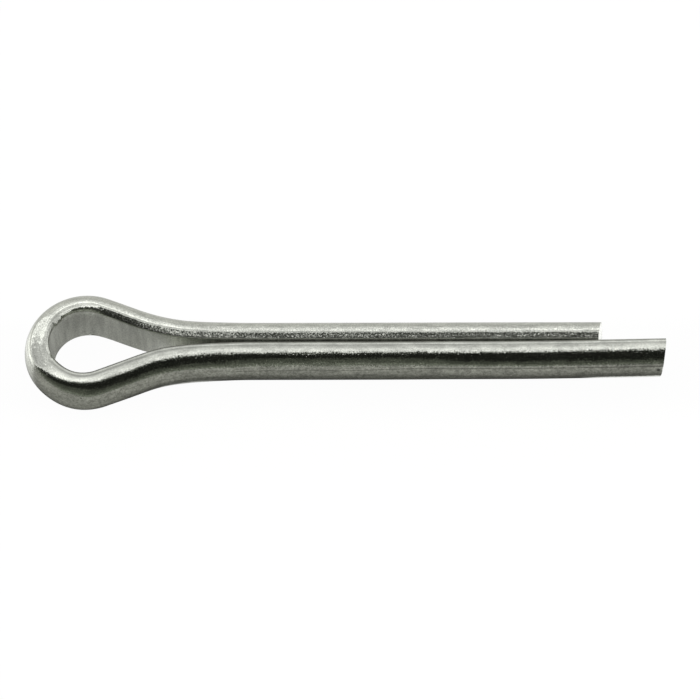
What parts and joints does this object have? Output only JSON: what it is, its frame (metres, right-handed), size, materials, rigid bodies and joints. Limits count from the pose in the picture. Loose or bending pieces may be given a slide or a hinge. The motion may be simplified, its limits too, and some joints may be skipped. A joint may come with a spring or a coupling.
{
  "type": "cotter pin",
  "caption": "Split pin folded from half-round steel wire, with a loop-shaped eye and parallel legs of unequal length, that locks a nut or a clevis pin through a cross hole.",
  "frame": {"origin": "on the shank's axis, in the plane where the head seats on the rim of its hole", "axes": "+X along the shank towards the tips, +Y across the legs towards the short one, +Z square to the plane of the fold"},
  "size_m": [0.0795, 0.0152, 0.0068],
  "materials": {
    "zinc_plated_steel": "bright zinc plating over drawn wire, semi-gloss with fine grain"
  },
  "bodies": {
    "root": {"cotter_pin": "zinc_plated_steel"}
  },
  "joints": []
}
